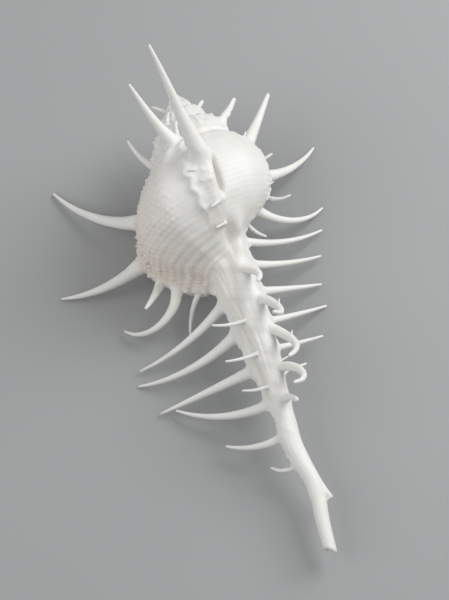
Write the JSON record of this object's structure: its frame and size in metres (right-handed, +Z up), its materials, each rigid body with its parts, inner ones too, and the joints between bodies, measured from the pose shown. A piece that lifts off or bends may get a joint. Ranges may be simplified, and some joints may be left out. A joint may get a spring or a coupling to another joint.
{
  "type": "murex shell",
  "caption": "Spiny sea snail shell: short spire, round body whorl, long straight canal and rows of curved spines; lies on its spine tips, aperture down.",
  "frame": {"origin": "middle of the bounding box at its base, on the surface that the lowest spine tips rest on", "axes": "+Y from the broken end of the canal towards the apex, +Z up out of the shell's back, +X to the right seen from above with the apex at the far end; the aperture faces down"},
  "size_m": [0.0492, 0.0848, 0.0398],
  "materials": {
    "shell": "matt, bleached white"
  },
  "bodies": {
    "root": {"murex_shell": "shell"}
  },
  "joints": []
}
